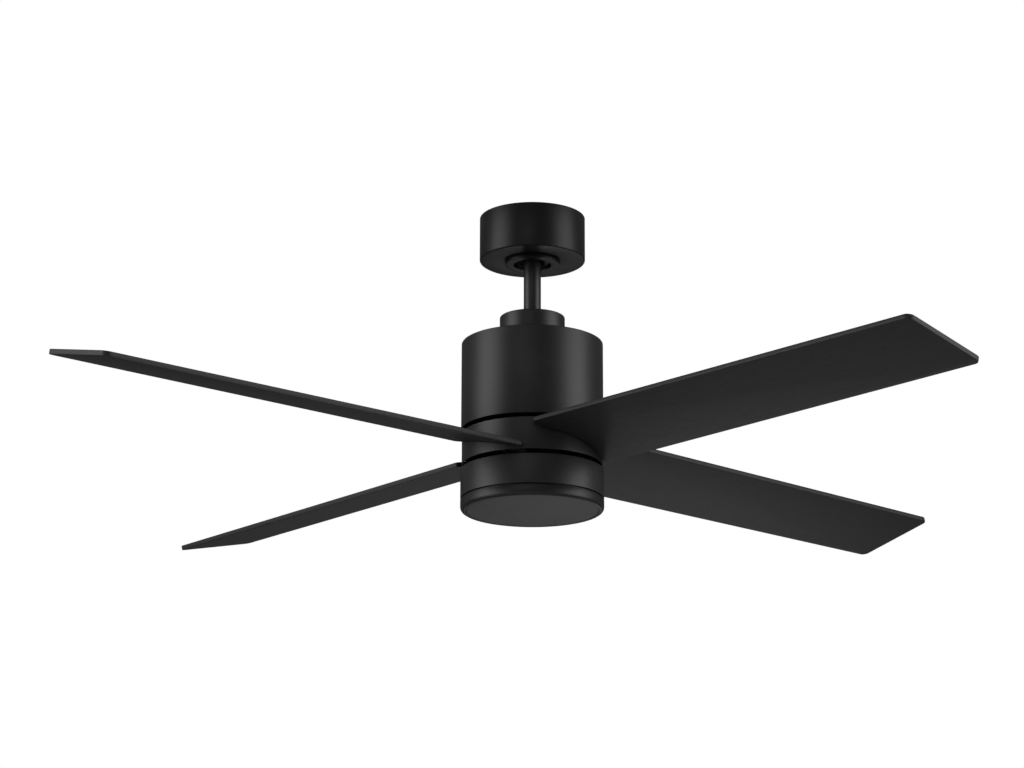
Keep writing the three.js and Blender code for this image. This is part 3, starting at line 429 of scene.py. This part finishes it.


# Painted shade: the canopy shell here and the collar below wear the darkened copy of the black powder coat.
canopy_shell = finish_piece("canopy_shell", turned(canopy_profile), shade_darkened_coat("canopy_shaded_paint"),
                            "ceiling_mount", ["canopy"])
cut_away(canopy_shell, drill_bits(centres(CANOPY_SCREWS), SCREW_HOLE, canopy_floor - SHEET,
                                  canopy_floor + 2 * SHEET))
dress(zinc_plate("canopy_screw_zinc"), *CANOPY_SCREWS)


# The canopy ring: a small pressed collar that snaps round the canopy's hole and hides the two screw heads.
RING_WALL = 1.2 * MM
RING_HOLE = 23 * MM
ring_low, ring_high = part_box("canopy_ring")
ring_radius = ring_high.x
ring_profile = [
    (RING_HOLE, ring_low.z, 0.9 * MM),
    (ring_radius, ring_low.z, 1.1 * MM),
    (ring_radius, ring_high.z, 0.2 * MM),
    (ring_radius - RING_WALL, ring_high.z, 0.2 * MM),
    (ring_radius - RING_WALL, ring_low.z + RING_WALL, 0),
    (RING_HOLE + RING_WALL, ring_low.z + RING_WALL, 0),
    (RING_HOLE + RING_WALL, ring_high.z, 0.2 * MM),
    (RING_HOLE, ring_high.z, 0.2 * MM),
]
finish_piece("canopy_collar", turned(ring_profile), shade_darkened_coat("collar_shaded_paint"), "ceiling_mount",
             ["canopy_ring"])


# The downrod: a drawn steel tube, powder coated black. A pin and a set screw hold the ball on its upper end,
# and its lower end is pinned in the yoke.
ROD_WALL = 1.6 * MM
rod_low, rod_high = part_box("downrod")
rod_radius = rod_high.x
rod_profile = [
    (rod_radius - ROD_WALL, rod_low.z, 0.3 * MM),
    (rod_radius, rod_low.z, 0.5 * MM),
    (rod_radius, rod_high.z, 0.5 * MM),
    (rod_radius - ROD_WALL, rod_high.z, 0.3 * MM),
]
finish_piece("downrod_tube", turned(rod_profile, steps=96), powder_coat("downrod_paint"), "hanger",
             ["downrod"])


# The yoke: cast aluminium, a sleeve with a flange on the housing. A pin with a clip and two set screws hold
# the rod in it. It stays hidden under its cover, where a black dip is finish enough.
def dipped(name):
    """Black dip over a casting, thin enough that the grain of the metal shows in the gloss."""
    material = bpy.data.materials.new(name)
    surface = shader(material)
    drift = grain(material, 50, 4.0)
    link(material, tone(material, drift, (0.004, 0.004, 0.004), (0.007, 0.007, 0.007)), "Color", surface,
         "Base Color")
    skin = grain(material, 800, 4.0)
    link(material, spread(material, skin, 0.4, 0.6), "Result", surface, "Roughness")
    link(material, bump(material, skin, 0.00008, 0.5), "Normal", surface, "Normal")
    surface.inputs["Specular IOR Level"].default_value = 0.15
    return material


dress(dipped("yoke_dip"), "yoke")
dress(zinc_plate("yoke_pin_zinc"), "yoke_pin", "yoke_pin_clip", "yoke_set_screw_1", "yoke_set_screw_2")


# The yoke cover: a cup spun from sheet steel and powder coated. It slides down the rod over the yoke and
# stands on the housing.
cover_low, cover_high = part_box("yoke_cover")
cover_radius = cover_high.x
COVER_HOLE = rod_radius + 1 * MM
cover_profile = [
    (cover_radius - SHEET, cover_low.z, 0.3 * MM),
    (cover_radius, cover_low.z, 0.4 * MM),
    (cover_radius, cover_high.z, 1.4 * MM),
    (COVER_HOLE, cover_high.z, 0.4 * MM),
    (COVER_HOLE, cover_high.z - SHEET, 0.3 * MM),
    (cover_radius - SHEET, cover_high.z - SHEET, 0.9 * MM),
]
finish_piece("yoke_cup", turned(cover_profile), powder_coat("yoke_cover_paint"), "hanger",
             ["yoke_cover"])


# The upper housing: a drum drawn from sheet steel and powder coated, open below. It covers the motor, and
# three screws through its top hold it under the yoke.
HOUSING_SCREWS = ("housing_screw_1", "housing_screw_2", "housing_screw_3")
HOUSING_HOLE = rod_radius + ROD_GAP
housing_low, housing_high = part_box("upper_housing")
housing_radius = housing_high.x
housing_profile = [
    (housing_radius - SHEET, housing_low.z, 0.5 * MM),
    (housing_radius, housing_low.z, 0.9 * MM),
    (housing_radius, housing_high.z, 1 * MM),
    (HOUSING_HOLE, housing_high.z, 0.3 * MM),
    (HOUSING_HOLE, housing_high.z - SHEET, 0.3 * MM),
    (housing_radius - SHEET, housing_high.z - SHEET, 1 * MM),
]
housing_drum = finish_piece("housing_drum", turned(housing_profile, steps=192), powder_coat("housing_paint"),
                            "hanger", ["upper_housing"])
cut_away(housing_drum, drill_bits(centres(HOUSING_SCREWS), SCREW_HOLE, housing_high.z - 2 * SHEET,
                                  housing_high.z + SHEET))
dress(zinc_plate("housing_screw_zinc"), *HOUSING_SCREWS)


# The motor shaft: turned from steel bar and bored through for the leads, with its upper end in the yoke. It
# stands still, holds the stator and carries the light kit.
def turned_steel(name, dark, light, ring=1600):
    """Machined steel: fine turning rings up its height and a thin film of oil in patches."""
    material = bpy.data.materials.new(name)
    surface = shader(material)
    film = grain(material, 45, 3.0)
    link(material, tone(material, film, dark, light), "Color", surface, "Base Color")
    rings = grain(material, ring, 2.0, stretch=(0.03, 0.03, 1))
    link(material, spread(material, rings, 0.2, 0.4), "Result", surface, "Roughness")
    link(material, bump(material, rings, 0.00003, 0.5), "Normal", surface, "Normal")
    surface.inputs["Metallic"].default_value = 1.0
    return material


dress(turned_steel("shaft_steel", (0.3, 0.3, 0.31), (0.44, 0.44, 0.45)), "motor_shaft")


# The leads: a flat bundle of wires in a plastic sheath. It runs from the canopy down through the rod and the
# hollow shaft to the driver.
dress(moulded("lead_sheath", (0.01, 0.01, 0.01), (0.017, 0.017, 0.016), (0.42, 0.6), pimple=260,
              depth=0.0001), "lead_bundle")


# The stator: a stack of electrical steel, stamped and pressed on the shaft, with enamelled copper coils
# above and below its teeth.
def wound_copper(name):
    """Enamelled copper wire laid side by side, with a varnish that has run a little darker in places."""
    material = bpy.data.materials.new(name)
    surface = shader(material)
    varnish = grain(material, 55, 3.0)
    link(material, tone(material, varnish, (0.34, 0.12, 0.045), (0.55, 0.23, 0.09)), "Color", surface,
         "Base Color")
    wires = grain(material, 1100, 1.0, stretch=(1, 1, 0.25))
    link(material, spread(material, wires, 0.22, 0.42), "Result", surface, "Roughness")
    link(material, bump(material, wires, 0.00015, 0.7), "Normal", surface, "Normal")
    surface.inputs["Metallic"].default_value = 0.8
    return material


dress(turned_steel("lamination_steel", (0.12, 0.12, 0.13), (0.2, 0.2, 0.21), ring=2200), "stator_core")
dress(wound_copper("winding_copper"), "winding_upper", "winding_lower")


# The rotor: an aluminium cup and base die cast and dip coated black, a pressed ring of ferrite magnets and
# two ball bearings on the shaft.
def casting(name, dark, light, metallic=0.9):
    """Die-cast metal: a grainy skin with flow marks."""
    material = bpy.data.materials.new(name)
    surface = shader(material)
    flow = grain(material, 40, 5.0)
    link(material, tone(material, flow, dark, light), "Color", surface, "Base Color")
    skin = grain(material, 800, 4.0)
    link(material, spread(material, skin, 0.42, 0.62), "Result", surface, "Roughness")
    link(material, bump(material, skin, 0.00008, 0.5), "Normal", surface, "Normal")
    surface.inputs["Metallic"].default_value = metallic
    return material


dress(casting("rotor_casting", (0.012, 0.012, 0.012), (0.022, 0.022, 0.022), metallic=0.2), "rotor_cup",
      "rotor_base")
dress(casting("magnet_ferrite", (0.02, 0.02, 0.022), (0.04, 0.04, 0.043), metallic=0.3), "magnet_ring")
dress(turned_steel("bearing_steel", (0.42, 0.42, 0.43), (0.56, 0.56, 0.57)), "bearing_lower",
      "bearing_upper")


# The blades: four thin boards of cut plywood, lacquered matt black, with eased edges, rounded tip corners and
# a narrower tongue that is screwed to the hub inside the band.
BLADE_ROOT_WIDTH = 127 * MM
BLADE_TIP_WIDTH = 118.5 * MM
BLADE_THICKNESS = 6 * MM
BLADE_PITCH = math.radians(13.4)
BLADE_DROOP = math.radians(0.5)
TIP_RADIUS = 660.5 * MM
ROOT_RADIUS = 69.7 * MM
TONGUE_END = 50.2 * MM
TONGUE_HALF = 34.2 * MM
TIP_CORNER = 8.5 * MM
ROOT_CORNER = 3 * MM
EASED_EDGE = 0.9 * MM
BLADE_SCREW_EDGE = 12 * MM
BLADE_SCREW_INSET = 0.7 * MM
BLADE_HOLE = 2.8 * MM
band_low, band_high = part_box("hub_band")
blade_height = (band_low.z + band_high.z) / 2


def blade_place(index):
    """From a blade's own frame (X along it, Z through it) to its place on the fan."""
    turn = Matrix.Rotation(index * math.pi / 2, 4, "Z")
    drop = Matrix.Rotation(BLADE_DROOP, 4, "Y")
    pitch = Matrix.Rotation(-BLADE_PITCH, 4, "X")
    return turn @ Matrix.Translation((0, 0, blade_height)) @ drop @ pitch


def corner_verts(bm, radius, across):
    """The two corners of the outline at a distance along the blade and across it."""
    return [vert for vert in bm.verts
            if abs(vert.co.x - radius) < SAME_PLACE and abs(abs(vert.co.y) - across) < SAME_PLACE]


def blade_screw_bits():
    """Pilot holes for the two screws that come up through the hub's pad, in the blade's own frame."""
    along = (TONGUE_END + ROOT_RADIUS) / 2
    across = TONGUE_HALF - BLADE_SCREW_EDGE
    return drill_bits([(along, -across), (along, across)], BLADE_HOLE, -BLADE_THICKNESS,
                      BLADE_THICKNESS / 2 - BLADE_SCREW_INSET)


def blade_board():
    """A blade's board in its own frame: the outline raised to its thickness, with every edge eased."""
    root = BLADE_ROOT_WIDTH / 2
    tip = BLADE_TIP_WIDTH / 2
    outline = [(TONGUE_END, -TONGUE_HALF), (ROOT_RADIUS, -TONGUE_HALF), (ROOT_RADIUS, -root),
               (TIP_RADIUS, -tip), (TIP_RADIUS, tip), (ROOT_RADIUS, root), (ROOT_RADIUS, TONGUE_HALF),
               (TONGUE_END, TONGUE_HALF)]
    bm = bmesh.new()
    bm.faces.new([bm.verts.new((x, y, -BLADE_THICKNESS / 2)) for x, y in outline])
    for radius, across, corner in ((TIP_RADIUS, tip, TIP_CORNER), (ROOT_RADIUS, root, ROOT_CORNER)):
        bmesh.ops.bevel(bm, geom=corner_verts(bm, radius, across), offset=corner, offset_type="OFFSET",
                        affect="VERTICES", segments=12, profile=0.5, material=-1, clamp_overlap=True)
    raised = bmesh.ops.extrude_face_region(bm, geom=bm.faces[:])
    top = [item for item in raised["geom"] if isinstance(item, bmesh.types.BMVert)]
    bmesh.ops.translate(bm, verts=top, vec=(0, 0, BLADE_THICKNESS))
    bmesh.ops.recalc_face_normals(bm, faces=bm.faces)
    rim = [edge for edge in bm.edges if abs(edge.verts[0].co.z - edge.verts[1].co.z) < SAME_PLACE]
    bmesh.ops.bevel(bm, geom=rim, offset=EASED_EDGE, offset_type="OFFSET", affect="EDGES", segments=3,
                    profile=0.5, material=-1, clamp_overlap=True)
    return bm


def blade_lacquer(index):
    """Matt lacquer over close-grained veneer: the grain runs along the blade and just reads in the gloss."""
    material = bpy.data.materials.new(f"blade_{index + 1}_lacquer")
    surface = shader(material)
    turn = -index * math.pi / 2
    figure = grain(material, 30, 5.0, stretch=(0.6, 9, 9), turn=turn)
    colour = tone(material, figure, (0.0095, 0.0093, 0.009), (0.014, 0.0137, 0.0131))
    link(material, colour, "Color", surface, "Base Color")
    fibre = grain(material, 220, 4.0, stretch=(0.35, 9, 9), turn=turn)
    link(material, spread(material, fibre, 0.5, 0.62), "Result", surface, "Roughness")
    link(material, bump(material, fibre, 0.00003, 0.35), "Normal", surface, "Normal")
    surface.inputs["Specular IOR Level"].default_value = 0.5
    return material


def black_oxide(name):
    """Black oxide on a steel screw: almost black, oily, with a fine grain and small rubbed spots."""
    material = bpy.data.materials.new(name)
    surface = shader(material)
    rubbed = grain(material, 420, 3.0)
    link(material, tone(material, rubbed, (0.004, 0.004, 0.0045), (0.01, 0.01, 0.011)), "Color", surface,
         "Base Color")
    link(material, spread(material, rubbed, 0.4, 0.55), "Result", surface, "Roughness")
    fine = grain(material, 1800, 2.0)
    link(material, bump(material, fine, 0.00002, 0.4), "Normal", surface, "Normal")
    surface.inputs["Specular IOR Level"].default_value = 0.2
    return material


for blade_index in range(4):
    board = blade_board()
    bmesh.ops.transform(board, matrix=blade_place(blade_index), verts=board.verts)
    piece = finish_piece(f"blade_board_{blade_index + 1}", board, blade_lacquer(blade_index), "rotor",
                         [f"blade_{blade_index + 1}"], smooth_angle=28)
    bits = blade_screw_bits()
    bmesh.ops.transform(bits, matrix=blade_place(blade_index), verts=bits.verts)
    cut_away(piece, bits, smooth_angle=28)
    dress(black_oxide(f"blade_screw_{blade_index + 1}_oxide"), f"blade_screw_{blade_index + 1}a",
          f"blade_screw_{blade_index + 1}b")


# The blade hub: an aluminium casting under the rotor base, dip coated black. It has a slanted pad that each
# blade is screwed to from below.
dress(dipped("hub_dip"), "blade_hub")


# The hub band: a drawn steel drum that turns with the blades, held on the hub by three screws through its
# top. A slanted slot lets each blade in.
SLOT_CLEARANCE = 0.6 * MM
BAND_BORE = 46.5 * MM
BAND_SCREW_HOLE = 1.8 * MM
BAND_SCREWS = ("band_screw_1", "band_screw_2", "band_screw_3")
band_radius = band_high.x
band_profile = [
    (band_radius - SHEET, band_low.z, 0.4 * MM),
    (band_radius, band_low.z, 0.8 * MM),
    (band_radius, band_high.z, 0.8 * MM),
    (BAND_BORE, band_high.z, 0.3 * MM),
    (BAND_BORE, band_high.z - SHEET, 0.3 * MM),
    (band_radius - SHEET, band_high.z - SHEET, 0),
]


def slot_cutter():
    """A box for each blade's root, a little larger than the blade and long enough to pass the drum's wall."""
    bm = bmesh.new()
    for index in range(4):
        made = bmesh.ops.create_cube(bm, size=1)
        length = ROOT_RADIUS
        size = Matrix.Diagonal((length, BLADE_ROOT_WIDTH + 2 * SLOT_CLEARANCE,
                                BLADE_THICKNESS + 2 * SLOT_CLEARANCE, 1))
        middle = Matrix.Translation((ROOT_RADIUS - SLOT_CLEARANCE + length / 2, 0, 0))
        bmesh.ops.transform(bm, matrix=blade_place(index) @ middle @ size, verts=made["verts"])
    return bm


hub_drum = finish_piece("hub_drum", turned(band_profile, steps=192), powder_coat("hub_band_paint"), "rotor",
                        ["hub_band"])
cut_away(hub_drum, slot_cutter())
cut_away(hub_drum, drill_bits(centres(BAND_SCREWS), BAND_SCREW_HOLE, band_high.z - 2 * SHEET,
                              band_high.z + SHEET))
dress(black_oxide("band_screw_oxide"), *BAND_SCREWS)


# The light pan: the fixed drum under the blades, a drawn steel cup open below, screwed to the light plate
# that a nut holds on the shaft. Three lugs inside its wall carry the bezel.
PAN_HOLE = 8.8 * MM
LUG_HEIGHT = 2 * MM
LUG_SPAN = math.radians(16)
LUG_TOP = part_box("bezel")[1].z - 3.5 * MM
LUG_RADIUS = 84.9 * MM
PAN_SCREWS = ("pan_screw_1", "pan_screw_2", "pan_screw_3")
pan_low, pan_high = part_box("light_pan")
pan_radius = pan_high.x
pan_profile = [
    (pan_radius - SHEET, pan_low.z, 0.3 * MM),
    (pan_radius, pan_low.z, 0.8 * MM),
    (pan_radius, pan_high.z, 0.8 * MM),
    (PAN_HOLE, pan_high.z, 0.3 * MM),
    (PAN_HOLE, pan_high.z - SHEET, 0.3 * MM),
    (pan_radius - SHEET, pan_high.z - SHEET, 0),
]


def add_sectors(bm, inner, outer, low, high, span):
    """Three short arcs of a rectangular section round the axis, closed at their ends."""
    for place in range(3):
        middle = place * math.tau / 3
        start = Matrix.Rotation(middle - span / 2, 3, "Z")
        corners = [(inner, 0, low), (outer, 0, low), (outer, 0, high), (inner, 0, high)]
        verts = [bm.verts.new(start @ Vector(corner)) for corner in corners]
        face = bm.faces.new(verts)
        bmesh.ops.spin(bm, geom=[face, *face.edges, *verts], cent=(0, 0, 0), axis=(0, 0, 1), angle=span,
                       steps=8, use_merge=False, use_duplicate=False)
    bmesh.ops.recalc_face_normals(bm, faces=bm.faces)


# Painted light: the pan's powder coat is a lighter copy of the drums' black paint, raised so that the pan
# reads as more brightly lit.
light_drum = finish_piece("light_drum", turned(pan_profile, steps=192),
                          powder_coat("light_pan_lit_paint", dark=(0.016, 0.016, 0.0155),
                                      light=(0.022, 0.022, 0.0215)), "hanger", ["light_pan"])
cut_away(light_drum, drill_bits(centres(PAN_SCREWS), SCREW_HOLE, pan_high.z - 2 * SHEET,
                                pan_high.z + SHEET))
lugs = bmesh.new()
add_sectors(lugs, LUG_RADIUS, pan_radius - SHEET + 0.1 * MM, LUG_TOP - LUG_HEIGHT, LUG_TOP, LUG_SPAN)
finish_piece("pan_lugs", lugs, powder_coat("pan_lug_paint"), "hanger")
dress(dipped("light_plate_dip"), "light_plate")
dress(zinc_plate("pan_screw_zinc"), *PAN_SCREWS)
dress(turned_steel("nut_steel", (0.25, 0.25, 0.26), (0.38, 0.38, 0.39)), "shaft_nut")


# The light engine: an aluminium tray that carries the driver and spreads the heat. The round board under it
# holds twelve emitters.
dress(casting("tray_aluminium", (0.3, 0.31, 0.32), (0.42, 0.43, 0.44)), "light_tray")
dress(moulded("driver_plastic", (0.01, 0.01, 0.01), (0.016, 0.016, 0.016), (0.45, 0.6), pimple=900),
      "led_driver")
dress(moulded("board_mask", (0.6, 0.6, 0.56), (0.7, 0.7, 0.66), (0.25, 0.4), pimple=300), "led_board")


# The bezel: a spun ring with a rounded lower edge and a thin lip that holds the cover. Three tabs on its
# sleeve rest on the pan's lugs, and a twist frees them.
BEZEL_FILLET = 4.8 * MM
LIP_INSET = 6.4 * MM
LIP_THICKNESS = 2.3 * MM
SLEEVE_BORE = 83.2 * MM
TAB_HEIGHT = 3 * MM
TAB_SPAN = math.radians(14)
TAB_RADIUS = 85.3 * MM
SLEEVE_WALL = 1.3 * MM
GROOVE = 1.8 * MM
bezel_low, bezel_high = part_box("bezel")
bezel_radius = bezel_high.x
lip_radius = bezel_radius - LIP_INSET
bezel_top = pan_low.z - GROOVE
bezel_profile = [
    (lip_radius, bezel_low.z, 0.4 * MM),
    (bezel_radius, bezel_low.z, BEZEL_FILLET),
    (bezel_radius, bezel_top, 0.5 * MM),
    (SLEEVE_BORE + SLEEVE_WALL, bezel_top, 0),
    (SLEEVE_BORE + SLEEVE_WALL, bezel_high.z, 0.2 * MM),
    (SLEEVE_BORE, bezel_high.z, 0.2 * MM),
    (SLEEVE_BORE, bezel_low.z + LIP_THICKNESS, 0),
    (lip_radius, bezel_low.z + LIP_THICKNESS, 0.3 * MM),
]
finish_piece("bezel_ring", turned(bezel_profile, steps=192), powder_coat("bezel_paint"), "light_bezel",
             ["bezel"])
tabs = bmesh.new()
add_sectors(tabs, SLEEVE_BORE + SLEEVE_WALL / 2, TAB_RADIUS, bezel_high.z - TAB_HEIGHT, bezel_high.z,
            TAB_SPAN)
finish_piece("bezel_tabs", tabs, powder_coat("bezel_tab_paint"), "light_bezel")


# The light cover: a shallow dome moulded in smoked plastic, with a fine matt texture. Its flange sits on the
# bezel's lip inside the ring.
COVER_GAP = 0.4 * MM
COVER_DOME = 3.4 * MM
COVER_RECESS = 0.5 * MM
COVER_FLANGE = 2.2 * MM
COVER_WALL = 2 * MM
DOME_RINGS = 24
cover_edge = lip_radius - COVER_GAP
edge_height = bezel_low.z + COVER_RECESS
flange_height = bezel_low.z + LIP_THICKNESS + 0.3 * MM


def dome_corners(lift):
    """The dome's rings from its middle outwards, raised by a lift."""
    shares = [step / DOME_RINGS for step in range(DOME_RINGS)]
    return [(cover_edge * share, edge_height + lift - COVER_DOME * (1 - share ** 2), 0) for share in shares]


def smoked_plastic():
    """Smoked acrylic with a frosted skin: a fine even sparkle and a soft cloud in depth."""
    material = bpy.data.materials.new("smoked_cover_plastic")
    surface = shader(material)
    cloud = grain(material, 14, 2.0)
    link(material, tone(material, cloud, (0.062, 0.062, 0.0615), (0.072, 0.072, 0.0715)), "Color", surface,
         "Base Color")
    frost = grain(material, 3200, 2.0)
    link(material, spread(material, frost, 0.5, 0.62), "Result", surface, "Roughness")
    link(material, bump(material, frost, 0.00002, 0.3), "Normal", surface, "Normal")
    return material


cover_profile = [
    *dome_corners(0),
    (cover_edge, edge_height, 0.3 * MM),
    (cover_edge, flange_height, 0),
    (cover_edge + COVER_FLANGE, flange_height, 0),
    (cover_edge + COVER_FLANGE, flange_height + COVER_WALL, 0.3 * MM),
    *reversed(dome_corners(flange_height + COVER_WALL - edge_height)),
]
finish_piece("cover_disc", turned(cover_profile, steps=192), smoked_plastic(), "light_bezel",
             ["light_cover"])
